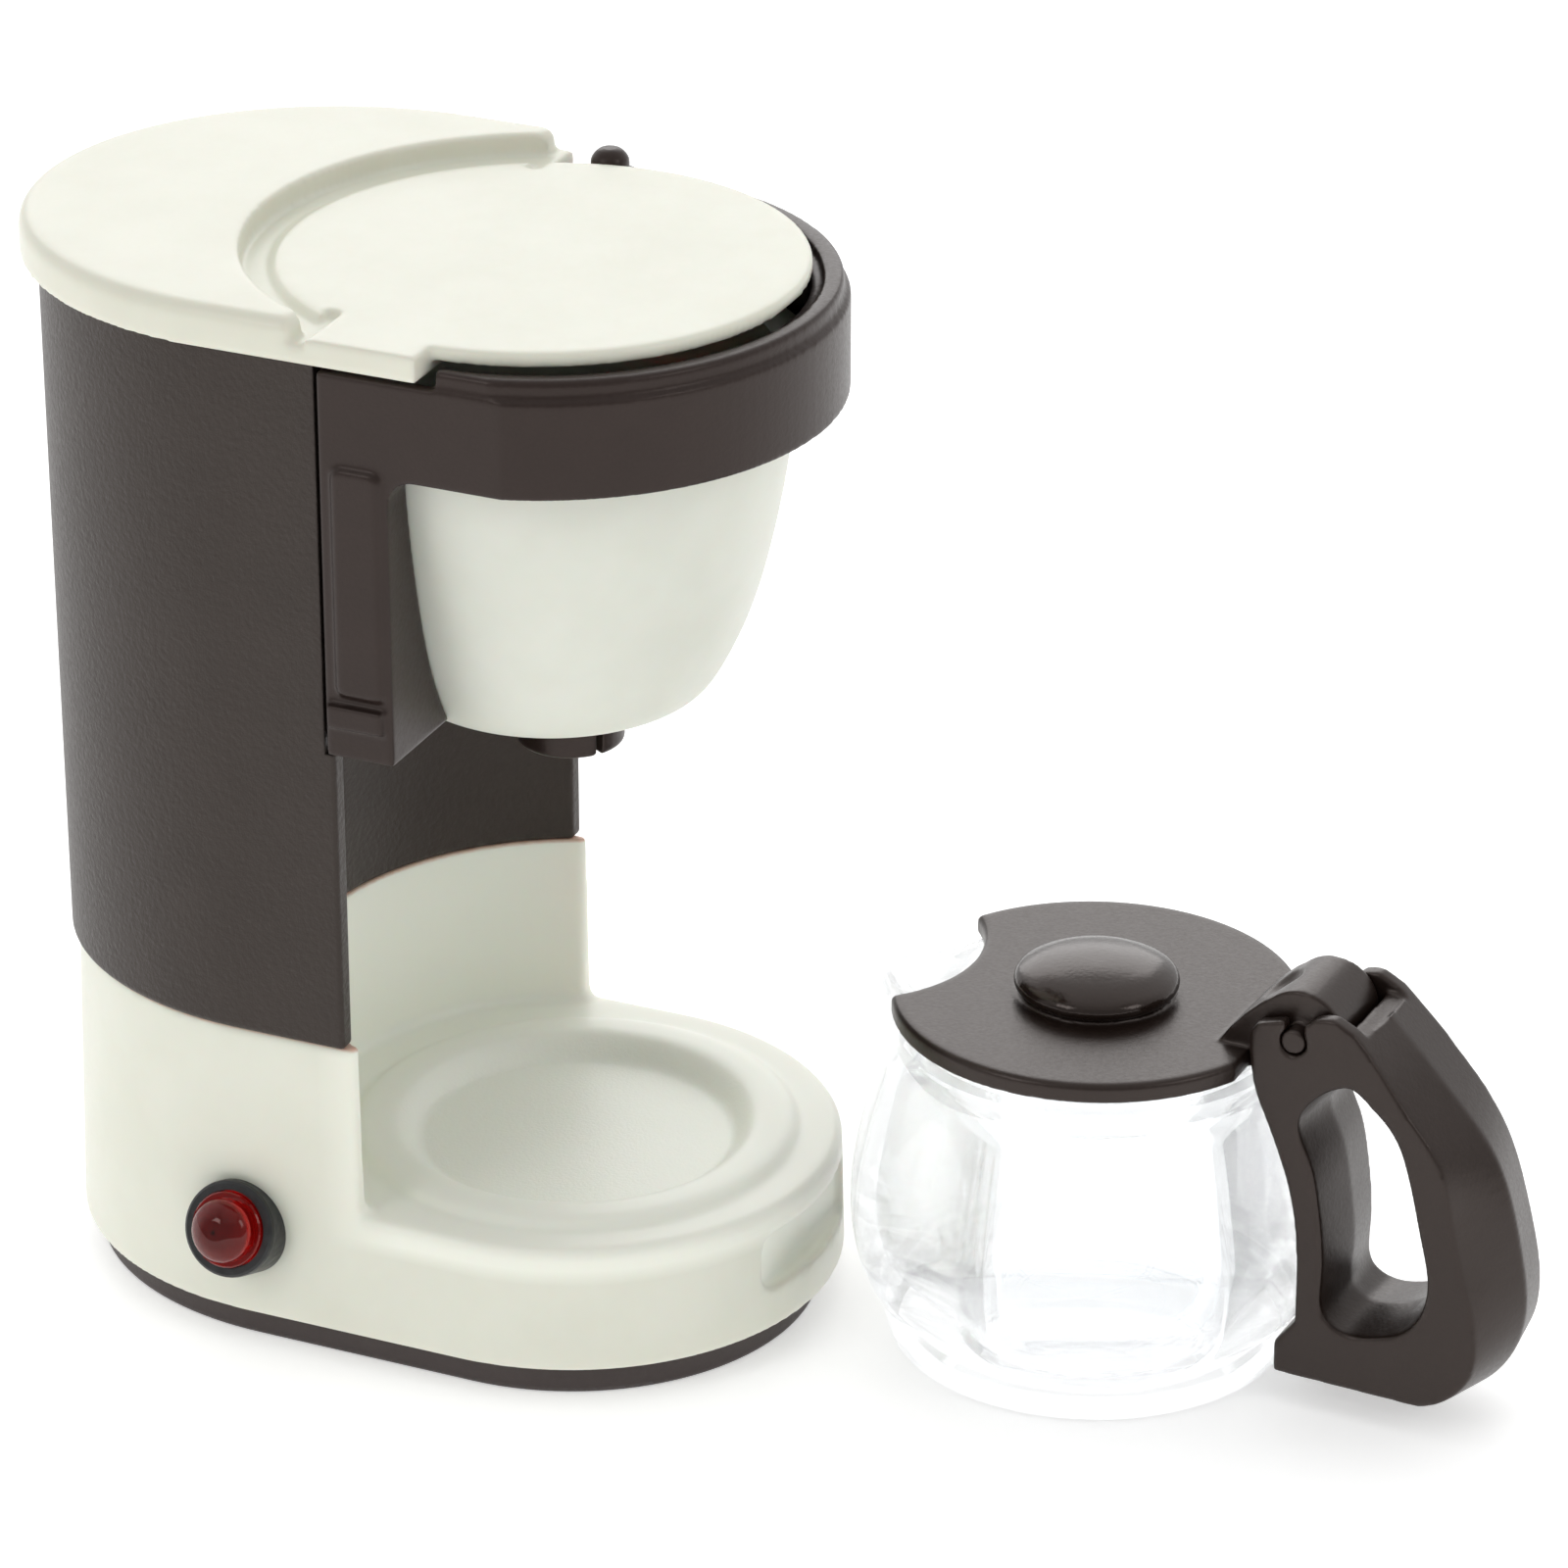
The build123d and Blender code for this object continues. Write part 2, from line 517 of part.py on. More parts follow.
with BuildPart() as holder_frame:
    # lower block: flat front, back kept clear of the tower
    with BuildSketch(Plane.XY.offset(HOLD_Z0)) as block:
        with Locations((0, (WALL_Y + HOLD_REAR) / 2)):
            Rectangle(2 * HOLD_W, HOLD_REAR - WALL_Y)
        with Locations((0, 0)):
            Circle(HOLD_BACK_R)
        with Locations((0, 20 + WALL_Y)):
            Rectangle(60, 40, mode=Mode.INTERSECT)
    extrude(amount=RING_Z1 - HOLD_Z0)
    # ring band: round front, flat sides
    with BuildSketch(Plane.XY.offset(RING_Z0)) as band:
        with Locations((0, RING_Y)):
            Circle(RING_R)
        Rectangle(2 * HOLD_W, 60, mode=Mode.INTERSECT)
        with Locations((0, -30 + HOLD_REAR)):
            Rectangle(60, 60, mode=Mode.INTERSECT)
    extrude(amount=RING_Z1 - RING_Z0)
    # rounded corner between the legs and the band
    fillet(
        holder_frame.edges().filter_by(
            lambda e: abs(e.center().Z - RING_Z0) < 0.01
            and abs(e.center().Y - WALL_Y) < 0.01
        ),
        radius=1.3,
    )
    # rim above the band, set back a little, front arc only
    with BuildSketch(Plane.XY.offset(RING_Z1 - 0.01)) as rim_arc:
        with Locations((0, RING_Y)):
            Circle(RIM_R)
        with Locations((0, -20 + 0.1)):
            Rectangle(2 * 13.45, 40, mode=Mode.INTERSECT)
    extrude(amount=RIM_Z - RING_Z1 + 0.01)
    fillet(
        holder_frame.edges().filter_by(
            lambda e: abs(e.center().Z - RIM_Z) < 0.001 and e.center().Y < -1
        ),
        radius=0.25,
    )
    # room inside the ring, down to the ledge that carries the bowl
    with BuildSketch(Plane.XY.offset(LEDGE_Z)) as ring_room:
        with Locations((0, RING_Y)):
            Circle(RING_IN_R)
        with Locations((0, -20 + 2.5)):
            Rectangle(60, 40, mode=Mode.INTERSECT)
        Circle(CUP_BACK_R + 0.10)
    extrude(amount=8, mode=Mode.SUBTRACT)
    # opening for the bowl
    add(cup_clear, mode=Mode.SUBTRACT)
    # hollow behind the front wall
    with BuildSketch(Plane.XY.offset(HOLD_Z0 + 1.2)) as wall_room:
        Circle(CUP_BACK_R + 0.10)
        with Locations((0, 20 + WALL_Y + HOLD_WALL)):
            Rectangle(60, 40, mode=Mode.INTERSECT)
    extrude(amount=16, mode=Mode.SUBTRACT)
    # raised pad on the near leg, and the slot under it
    with BuildSketch(Plane.YZ.offset(-HOLD_W - 0.30)) as pad:
        with Locations((4.12, 42.2)):
            RectangleRounded(2.45, 11.4, 0.45)
    extrude(amount=0.6)
    with BuildSketch(Plane.YZ.offset(-HOLD_W - 0.5)) as slot_cut:
        with Locations((4.55, 35.25)):
            RectangleRounded(2.9, 0.75, 0.3)
    extrude(amount=0.85, mode=Mode.SUBTRACT)
    # hinge knuckle, full height, with its bore
    extrude(disc(HX, HY, KNUCKLE_R, HOLD_Z0), amount=RING_Z1 - HOLD_Z0)
    extrude(disc(HX, HY, BORE_R, 30), amount=25, mode=Mode.SUBTRACT)
holder_frame.part.label = "holder_frame"

with BuildPart() as hinge_pin:
    with BuildSketch(Plane(origin=(HX, HY, 0), x_dir=(1, 0, 0), z_dir=(0, -1, 0))) as pin:
        with BuildLine():
            Polyline(
                (0, 31.0),
                (PIN_R, 31.0),
                (PIN_R, COL_TOP),
                (0.95, COL_TOP),
                (0.95, 53.85),
            )
            Spline((0.95, 53.85), (0.74, 54.36), (0.30, 54.60), tangents=((0, 1), (-1, 0.1)))
            Polyline((0.30, 54.60), (0, 54.60), (0, 31.0))
        make_face()
    revolve(axis=Axis((HX, HY, 0), (0, 0, 1)))
hinge_pin.part.label = "hinge_pin"

# ---------------------------------------------------------------------- lamp
LX = LAMP_X
with BuildPart() as lamp_bezel:
    # tilted head, cut flat where it sits on the wall
    with BuildSketch(LAMP) as bezel_half:
        with BuildLine():
            Polyline(
                (LX + 1.20, 0),
                (LX + 1.20, 2.40),
                (LX - 1.30, 2.40),
                (LX - 1.46, 2.36),
                (LX - 1.55, 2.24),
                (LX - 1.55, 0),
                close=True,
            )
        make_face()
    revolve(axis=LAMP_AXIS)
    with BuildSketch(Plane.YZ.offset(LX)) as wall_side:
        with Locations((LAMP_Y, LAMP_Z)):
            Rectangle(8, 8)
    extrude(amount=4, mode=Mode.SUBTRACT)
    # straight sleeve through the wall
    with BuildSketch(Plane.YZ.offset(LX - 0.1)) as sleeve:
        with Locations((LAMP_Y, LAMP_Z)):
            Circle(1.80)
    extrude(amount=3.0)
    # seat and bore for the lamp, then the way out for its legs
    with BuildSketch(LAMP) as lamp_room:
        with BuildLine():
            Polyline(
                (LX + 0.62, 0),
                (LX + 0.62, 1.48),
                (LX - 1.10, 1.48),
                (LX - 1.10, 1.92),
                (LX - 2.20, 1.92),
                (LX - 2.20, 0),
                close=True,
            )
        make_face()
    revolve(axis=LAMP_AXIS, mode=Mode.SUBTRACT)
    with BuildSketch(Plane.YZ.offset(LX - 0.3)) as leg_room:
        with Locations((LAMP_Y, LAMP_Z)):
            Circle(1.30)
    extrude(amount=3.4, mode=Mode.SUBTRACT)
lamp_bezel.part.label = "lamp_bezel"

with BuildPart() as lamp_lens:
    with BuildSketch(LAMP) as lens_half:
        with BuildLine():
            Polyline(
                (LX + 0.55, 0),
                (LX + 0.55, 1.44),
                (LX - 1.12, 1.44),
                (LX - 1.12, 1.87),
                (LX - 1.72, 1.87),
                (LX - 1.80, 1.80),
                (LX - 1.80, 1.60),
                (LX - 2.20, 1.57),
            )
            Spline(
                (LX - 2.20, 1.57),
                (LX - 2.62, 1.40),
                (LX - 3.00, 0.92),
                (LX - 3.16, 0),
                tangents=((-1, -0.08), (0, -1)),
            )
            Line((LX - 3.16, 0), (LX + 0.55, 0))
        make_face()
    revolve(axis=LAMP_AXIS)
lamp_lens.part.label = "lamp_lens"

with BuildPart() as lamp_collar:
    with BuildSketch(Plane.YZ.offset(LX + 1.75)) as collar:
        with Locations((LAMP_Y, LAMP_Z)):
            Circle(2.22)
            Circle(1.83, mode=Mode.SUBTRACT)
    extrude(amount=0.9)
lamp_collar.part.label = "lamp_collar"

with BuildPart() as lamp_leads:
    for dz, x0 in ((-0.81, LX + 0.39), (0.43, LX + 0.85)):
        with BuildSketch(Plane.YZ.offset(x0)) as leg:
            with Locations((LAMP_Y, LAMP_Z + dz)):
                Circle(0.24)
        extrude(amount=LX + 3.4 - x0)
lamp_leads.part.label = "lamp_leads"

# ----------------------------------------------------------------- jug: glass
GLASS_OUT = [  # radius, height of the outside above the foot step
    (11.02, 3.15),
    (11.42, 4.10),
    (11.72, 5.40),
    (11.85, 7.00),
    (11.72, 9.00),
    (11.36, 11.00),
    (10.86, 13.00),
    (10.22, 15.00),
    (9.72, 16.35),
]
HEX = [(8.05, 2.30), (8.85, 3.90), (9.35, 7.00), (9.00, 10.50), (8.25, 14.40)]
# upright plane across the pouring lip, its normal pointing outwards
LIP = Plane(
    origin=(JX - 8.2 * cos_a, JY - 8.2 * sin_a, 0),
    x_dir=(sin_a, -cos_a, 0),
    z_dir=(-cos_a, -sin_a, 0),
)


def lip_section(out, half_top, half_low, z_low, z_top):
    with BuildSketch(LIP.offset(out), mode=Mode.PRIVATE) as s:
        with BuildLine():
            Polyline(
                (-half_top, z_top),
                (-half_low, z_low),
                (half_low, z_low),
                (half_top, z_top),
                close=True,
            )
        make_face()
    return s.sketch


def panelled(apothem, z):
    with BuildSketch(JUG.offset(z), mode=Mode.PRIVATE) as s:
        RegularPolygon(apothem, 6, major_radius=False, rotation=30)
        fillet(s.vertices(), radius=0.9)
    return s.sketch


with BuildPart() as jug_glass:
    with BuildSketch(SIDE) as outer:
        with BuildLine():
            Polyline((0, 0.35), (6.2, 0.35), (6.5, 0), (9.45, 0))
            ThreePointArc((9.45, 0), (9.88, 0.17), (10.05, 0.60))
            Polyline((10.05, 0.60), (10.05, 1.45), (10.34, 1.68), (10.34, 2.70), (11.02, 3.15))
            Spline(*GLASS_OUT, tangents=((0.55, 1), (-0.35, 1)))
            Polyline(
                (9.72, 16.35), (9.72, 16.60), (9.30, 16.85), (9.30, 17.30), (0, 17.30), (0, 0.35)
            )
        make_face()
    revolve(axis=JUG_AXIS)
    # pouring lip, opposite the handle
    loft([lip_section(0, 2.9, 2.2, 15.5, 17.30), lip_section(2.85, 0.95, 0.55, 16.70, 17.30)])
    # lugs that key the handle
    with BuildSketch(SIDE.offset(-1.0)) as lugs:
        with BuildLine():
            Polyline((10.5, 4.30), (12.75, 4.30), (12.75, 5.70), (10.5, 5.70), close=True)
        make_face()
        with BuildLine():
            Polyline((9.5, 12.70), (11.95, 12.70), (11.75, 13.80), (9.5, 13.80), close=True)
        make_face()
    extrude(amount=2.0)
    # panelled inside: six flats, one of them facing the handle
    loft([panelled(a, z) for a, z in HEX], mode=Mode.SUBTRACT)
    with BuildSketch(SIDE) as neck:
        with BuildLine():
            Polyline((0, 14.0), (8.3, 14.0), (8.45, 15.2), (8.45, 17.4), (0, 17.4), close=True)
        make_face()
    revolve(axis=JUG_AXIS, mode=Mode.SUBTRACT)
    # channel of the lip
    loft(
        [lip_section(-1.0, 2.5, 1.8, 16.1, 17.5), lip_section(2.86, 0.65, 0.38, 17.0, 17.5)],
        mode=Mode.SUBTRACT,
    )
    # shallow ring mark under the foot
    with BuildSketch(JUG) as mark:
        Circle(3.75)
        Circle(3.45, mode=Mode.SUBTRACT)
    extrude(amount=0.6, mode=Mode.SUBTRACT)
jug_glass.part.label = "jug_glass"

# ---------------------------------------------------------------- jug: handle
# Outline in the upright plane: distance from the jug axis, height. The back
# is a shallow roof: its ridge is the parting line, its eaves the side edges.
BACK_MID = [
    (19.6, 1.45), (21.2, 2.5), (22.30, 4.2), (22.78, 6.6), (22.40, 9.5),
    (21.80, 12.0), (20.80, 14.4), (18.65, 17.0), (16.5, 19.3), (15.0, 20.75),
]
BACK_NEAR = [
    (18.7, 1.70), (20.1, 2.45), (21.3, 4.2), (21.30, 6.6), (20.68, 9.0),
    (20.0, 11.9), (19.3, 14.6), (17.3, 17.35), (15.8, 19.4), (14.65, 20.75),
]
BACK_FAR = [
    (18.9, 1.65), (20.5, 2.45), (21.85, 4.1), (22.25, 6.6), (21.75, 9.6),
    (21.0, 12.3), (19.95, 14.8), (17.9, 17.5), (16.1, 19.4), (14.65, 20.75),
]
INNER = [
    (9.75, 16.55), (10.55, 14.7), (11.2, 13.0), (11.75, 11.2), (12.1, 8.6), (12.15, 4.7),
]
TOP = [
    (13.6, 21.30), (12.75, 21.15), (12.35, 20.75), (10.9, 20.62), (9.7, 20.25),
    (9.35, 19.7), (9.35, 18.7), (9.55, 17.2), (9.75, 16.55),
]
HOLE_SIDE = [
    (14.3, 17.9), (12.85, 17.0), (11.95, 15.4), (12.55, 13.6), (13.1, 11.3),
    (13.4, 7.1), (13.6, 5.3), (14.4, 4.72), (16.2, 4.80), (17.9, 5.6),
    (18.9, 7.9), (18.5, 10.6), (17.75, 13.8), (16.75, 16.1), (15.4, 17.4),
]


def shrink(points, d):
    """Move every point of a roundish outline inwards by d."""
    cx = sum(p[0] for p in points) / len(points)
    cy = sum(p[1] for p in points) / len(points)
    out = []
    for i, (px, py) in enumerate(points):
        x0, y0 = points[i - 1]
        x1, y1 = points[(i + 1) % len(points)]
        length = math.hypot(x1 - x0, y1 - y0)
        nx, ny = -(y1 - y0) / length, (x1 - x0) / length
        if (cx - px) * nx + (cy - py) * ny < 0:
            nx, ny = -nx, -ny
        out.append((px + nx * d, py + ny * d))
    return out


def handle_outline(off, back, low):
    with BuildSketch(SIDE.offset(off), mode=Mode.PRIVATE) as s:
        with BuildLine():
            Spline(*back)
            Line(back[-1], TOP[0])
            Polyline(*TOP)
            Spline(*INNER)
            Polyline(INNER[-1], (11.1, 3.35), (11.1, low + 0.1), back[0])
        make_face()
    return s.sketch


def handle_hole(off, pts):
    with BuildSketch(SIDE.offset(off), mode=Mode.PRIVATE) as s:
        with BuildLine():
            Spline(*pts, periodic=True)
        make_face()
    return s.sketch


HOLE_MID = shrink(HOLE_SIDE, 0.42)

with BuildPart() as jug_handle:
    for side in (1, -1):
        loft(
            [
                handle_outline(0, BACK_MID, 1.45),
                handle_outline(side * HANDLE_W / 2, BACK_NEAR if side > 0 else BACK_FAR, 1.62),
            ],
            ruled=True,
        )
    for side in (1, -1):
        loft(
            [
                handle_hole(0, HOLE_MID),
                handle_hole(side * (HANDLE_W / 2 + 0.3), HOLE_SIDE),
            ],
            ruled=True,
            mode=Mode.SUBTRACT,
        )
    # slot between the ears for the lid's hinge barrel
    with BuildSketch(SIDE.offset(-EAR_SLOT / 2)) as slot:
        with BuildLine():
            Polyline(
                (8.0, 17.05), (12.4, 17.05), (14.1, 18.3), (14.1, 23.0), (8.0, 23.0), close=True
            )
        make_face()
    extrude(amount=EAR_SLOT, mode=Mode.SUBTRACT)
    # web between the ears: its top is cut on a slant
    with BuildSketch(SIDE.offset(-EAR_SLOT / 2)) as web_top:
        with BuildLine():
            Polyline((14.0, 20.50), (15.1, 20.35), (16.2, 21.8), (14.0, 22.5), close=True)
        make_face()
    extrude(amount=EAR_SLOT, mode=Mode.SUBTRACT)
    # hinge eyes, open at the top so that the trunnions snap in
    with BuildSketch(SIDE.offset(-4)) as eyes:
        with Locations((HINGE_R, HINGE_Z)):
            Circle(EYE_R)
        with Locations((HINGE_R + 0.05, HINGE_Z + 1.2)):
            Rectangle(0.95, 2.0)
    extrude(amount=8, mode=Mode.SUBTRACT)
    # seat for the glass: its outside and its two lugs
    with BuildSketch(SIDE) as seat:
        with BuildLine():
            Polyline(
                (0, -1),
                (10.10, -1),
                (10.10, 1.42),
                (10.40, 1.66),
                (10.40, 2.66),
                (11.07, 3.12),
            )
            Spline(
                *[(11.07, 3.12)] + [(r + 0.05, z) for r, z in GLASS_OUT[1:]],
                tangents=((0.55, 1), (-0.35, 1)),
            )
            Polyline(
                (9.77, 16.35), (9.77, 16.66), (9.36, 16.90), (9.36, 17.34), (0, 17.34), (0, -1)
            )
        make_face()
    revolve(axis=JUG_AXIS, mode=Mode.SUBTRACT)
    with BuildSketch(SIDE.offset(-1.04)) as sockets:
        with BuildLine():
            Polyline((10.5, 4.26), (12.80, 4.26), (12.80, 5.74), (10.5, 5.74), close=True)
        make_face()
        with BuildLine():
            Polyline((9.5, 12.66), (12.0, 12.66), (11.8, 13.84), (9.5, 13.84), close=True)
        make_face()
    extrude(amount=2.08, mode=Mode.SUBTRACT)
jug_handle.part.label = "jug_handle"

# ------------------------------------------------------------------- jug: lid
with BuildPart() as jug_lid:
    with BuildSketch(JUG.offset(LID_Z0)) as lid_disc:
        Circle(LID_R)
    extrude(amount=LID_Z1 - LID_Z0)
    # ring that centres the lid in the neck
    with BuildSketch(JUG.offset(LID_Z0 - 0.95)) as skirt:
        Circle(7.95)
        Circle(6.95, mode=Mode.SUBTRACT)
    extrude(amount=1.1)
    # bite over the pouring lip, notches that clear the ears of the handle
    with BuildSketch(JUG.offset(LID_Z0 - 2)) as bite:
        with Locations((-13.70, 0)):
            Circle(6.95)
        with Locations((10.55, 3.2), (10.55, -3.2)):
            Rectangle(3.0, 2.0)
    extrude(amount=5, mode=Mode.SUBTRACT)
    fillet(
        jug_lid.edges().filter_by(
            lambda e: abs(e.center().Z - LID_Z1) < 0.01 and e.length > 6
        ),
        radius=0.32,
    )
    # knob: stem and dome
    with BuildSketch(SIDE) as knob:
        with BuildLine():
            Polyline((0, LID_Z1 - 0.2), (3.60, LID_Z1 - 0.2), (3.60, 18.52))
            ThreePointArc((3.60, 18.52), (3.93, 18.69), (4.03, 18.98))
            ThreePointArc((4.03, 18.98), (3.934, 19.231), (3.652, 19.470))
            ThreePointArc((3.652, 19.470), (3.087, 19.726), (2.312, 19.930))
            ThreePointArc((2.312, 19.930), (1.25, 20.085), (0.30, 20.136))
            Polyline((0.30, 20.136), (0, 20.136), (0, LID_Z1 - 0.2))
        make_face()
    revolve(axis=JUG_AXIS)
    # hinge lug with barrel
    with BuildSketch(SIDE.offset(-LUG_W / 2)) as lug:
        with Locations((HINGE_R, HINGE_Z)):
            Circle(BARREL_R)
        with BuildLine():
            Polyline(
                (7.35, LID_Z1 - 0.3),
                (7.35, LID_Z1),
                (7.9, 19.15),
                (8.7, 20.1),
                (9.6, 20.95),
                (10.6, 21.62),
                (HINGE_R, HINGE_Z + BARREL_R),
                (HINGE_R, HINGE_Z - BARREL_R + 0.02),
                (9.3, LID_Z0 + 0.08),
                (9.3, LID_Z1 - 0.3),
                close=True,
            )
        make_face()
    extrude(amount=LUG_W)
    # thumb dish
    with Locations(SIDE.location * Location((8.75, 22.15, 0))):
        Sphere(1.95, mode=Mode.SUBTRACT)
    # trunnions
    with BuildSketch(SIDE.offset(-HANDLE_W / 2 + 0.05)) as trunnion:
        with Locations((HINGE_R, HINGE_Z)):
            Circle(TRUNNION_R)
    extrude(amount=HANDLE_W - 0.10)
jug_lid.part.label = "jug_lid"

export_step(base_housing.part, "parts/base_housing.step")
export_step(bottom_plate.part, "parts/bottom_plate.step")
export_step(bottom_screws.part, "parts/bottom_screws.step")
export_step(column_shell.part, "parts/column_shell.step")
export_step(column_screws.part, "parts/column_screws.step")
export_step(top_cover.part, "parts/top_cover.step")
export_step(cover_screws.part, "parts/cover_screws.step")
export_step(filter_cup.part, "parts/filter_cup.step")
export_step(drip_nozzle.part, "parts/drip_nozzle.step")
export_step(holder_frame.part, "parts/holder_frame.step")
export_step(hinge_pin.part, "parts/hinge_pin.step")
export_step(lamp_bezel.part, "parts/lamp_bezel.step")
export_step(lamp_lens.part, "parts/lamp_lens.step")
export_step(lamp_collar.part, "parts/lamp_collar.step")
export_step(lamp_leads.part, "parts/lamp_leads.step")
export_step(jug_glass.part, "parts/jug_glass.step")
export_step(jug_handle.part, "parts/jug_handle.step")
export_step(jug_lid.part, "parts/jug_lid.step")
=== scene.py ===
"""Miniature coffee machine with its clear jug: looks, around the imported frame.

Everything is in metres in the row frame. The machine stands on z = 0 and faces -Y, the jug stands
loose at its front left corner. Materials are procedural and read object coordinates only.
"""

import math
import random

import bmesh
import bpy
from mathutils import Matrix, Vector


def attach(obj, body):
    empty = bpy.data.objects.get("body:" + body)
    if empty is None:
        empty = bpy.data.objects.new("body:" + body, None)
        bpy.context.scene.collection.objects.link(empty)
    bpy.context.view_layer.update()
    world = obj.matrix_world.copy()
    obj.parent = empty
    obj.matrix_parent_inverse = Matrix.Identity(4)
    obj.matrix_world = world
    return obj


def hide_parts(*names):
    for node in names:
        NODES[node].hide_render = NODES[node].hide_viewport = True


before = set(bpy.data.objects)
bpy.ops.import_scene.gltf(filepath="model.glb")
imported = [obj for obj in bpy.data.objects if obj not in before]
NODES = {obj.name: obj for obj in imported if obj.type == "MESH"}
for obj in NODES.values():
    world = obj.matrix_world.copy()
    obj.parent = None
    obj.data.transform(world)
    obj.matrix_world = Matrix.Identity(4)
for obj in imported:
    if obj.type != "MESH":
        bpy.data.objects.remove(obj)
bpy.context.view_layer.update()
MM = 0.001
random.seed(7)

scene = bpy.context.scene
scene.view_settings.view_transform = "Standard"
scene.view_settings.look = "None"
scene.view_settings.exposure = 0.0
scene.view_settings.gamma = 1.0

# ------------------------------------------------------------------ camera
cam_data = bpy.data.cameras.new("camera")
cam_data.sensor_fit = "AUTO"
cam_data.sensor_width = 36.0
cam_data.lens = 7156.0 / 1600.0 * 36.0
cam_data.clip_start = 0.01
cam_data.clip_end = 20.0
cam = bpy.data.objects.new("camera", cam_data)
scene.collection.objects.link(cam)
right = Vector((0.4066748, -0.9135730, 0.0))
up = Vector((0.3917671, 0.1743942, 0.9033854))
back = Vector((-0.8253085, -0.3673841, 0.4288296))
place = Matrix.Identity(4)
for i in range(3):
    place[i][0], place[i][1], place[i][2] = right[i], up[i], back[i]
place.translation = Vector((-275.753, -134.002, 172.449)) * MM
cam.matrix_world = place
scene.camera = cam


# ------------------------------------------------------------- node helpers
def srgb(r, g, b, a=1.0):
    """8 bit display colour as linear values."""

    def lin(c):
        c /= 255.0
        return c / 12.92 if c <= 0.04045 else ((c + 0.055) / 1.055) ** 2.4

    return (lin(r), lin(g), lin(b), a)


class Mat:
    """A Principled material with a few short ways of adding procedural detail."""

    def __init__(self, name):
        self.mat = bpy.data.materials.new(name)
        self.mat.use_nodes = True
        self.nt = self.mat.node_tree
        self.nt.nodes.clear()
        self.out = self.nt.nodes.new("ShaderNodeOutputMaterial")
        self.bsdf = self.nt.nodes.new("ShaderNodeBsdfPrincipled")
        self.link(self.bsdf.outputs[0], self.out.inputs[0])
        self.coord = self.nt.nodes.new("ShaderNodeTexCoord").outputs["Object"]

    def link(self, a, b):
        self.nt.links.new(a, b)

    def set(self, **values):
        names = {
            "color": "Base Color",
            "rough": "Roughness",
            "metal": "Metallic",
            "ior": "IOR",
            "spec": "Specular IOR Level",
            "spec_tint": "Specular Tint",
            "trans": "Transmission Weight",
            "coat": "Coat Weight",
            "coat_rough": "Coat Roughness",
            "sheen": "Sheen Weight",
            "sheen_rough": "Sheen Roughness",
            "sss": "Subsurface Weight",
            "sss_scale": "Subsurface Scale",
            "alpha": "Alpha",
        }
        for k, v in values.items():
            self.bsdf.inputs[names[k]].default_value = v
        return self

    def noise(self, scale, detail=2.0, rough=0.5, stretch=None, distortion=0.0):
        n = self.nt.nodes.new("ShaderNodeTexNoise")
        n.inputs["Scale"].default_value = scale
        n.inputs["Detail"].default_value = detail
        n.inputs["Roughness"].default_value = rough
        n.inputs["Distortion"].default_value = distortion
        self.link(self.stretched(stretch), n.inputs["Vector"])
        return n.outputs["Fac"]

    def stretched(self, stretch):
        if stretch is None:
            return self.coord
        m = self.nt.nodes.new("ShaderNodeMapping")
        m.inputs["Scale"].default_value = stretch
        self.link(self.coord, m.inputs["Vector"])
        return m.outputs["Vector"]

    def voronoi(self, scale, feature="F1", stretch=None):
        n = self.nt.nodes.new("ShaderNodeTexVoronoi")
        n.feature = feature
        n.inputs["Scale"].default_value = scale
        self.link(self.stretched(stretch), n.inputs["Vector"])
        return n.outputs["Distance"]

    def ramp(self, fac, stops):
        r = self.nt.nodes.new("ShaderNodeValToRGB")
        el = r.color_ramp.elements
        while len(el) < len(stops):
            el.new(0.5)
        for e, (p, c) in zip(el, stops):
            e.position = p
            e.color = c if len(c) == 4 else (*c, 1.0)
        self.link(fac, r.inputs["Fac"])
        return r.outputs["Color"]

    def span(self, fac, lo, hi, from_lo=0.0, from_hi=1.0):
        r = self.nt.nodes.new("ShaderNodeMapRange")
        r.inputs["From Min"].default_value = from_lo
        r.inputs["From Max"].default_value = from_hi
        r.inputs["To Min"].default_value = lo
        r.inputs["To Max"].default_value = hi
        self.link(fac, r.inputs["Value"])
        return r.outputs["Result"]

    def math(self, op, a, b=None):
        n = self.nt.nodes.new("ShaderNodeMath")
        n.operation = op
        for i, x in enumerate((a, b)):
            if x is None:
                continue
            if isinstance(x, (int, float)):
                n.inputs[i].default_value = x
            else:
                self.link(x, n.inputs[i])
        return n.outputs[0]

    def xyz(self):
        s = self.nt.nodes.new("ShaderNodeSeparateXYZ")
        self.link(self.coord, s.inputs[0])
        return s.outputs

    def radius(self, cx, cy):
        """Distance from an upright axis."""
        x, y, _ = self.xyz()
        dx, dy = self.math("SUBTRACT", x, cx), self.math("SUBTRACT", y, cy)
        return self.math(
            "SQRT",
            self.math("ADD", self.math("MULTIPLY", dx, dx), self.math("MULTIPLY", dy, dy)),
        )

    def bump(self, height, strength, distance):
        b = self.nt.nodes.new("ShaderNodeBump")
        b.inputs["Distance"].default_value = distance
        if isinstance(strength, (int, float)):
            b.inputs["Strength"].default_value = strength
        else:
            self.link(strength, b.inputs["Strength"])
        self.link(height, b.inputs["Height"])
        last = getattr(self, "_normal", None)
        if last is not None:
            self.link(last, b.inputs["Normal"])
        self._normal = b.outputs["Normal"]
        self.link(self._normal, self.bsdf.inputs["Normal"])
        return self

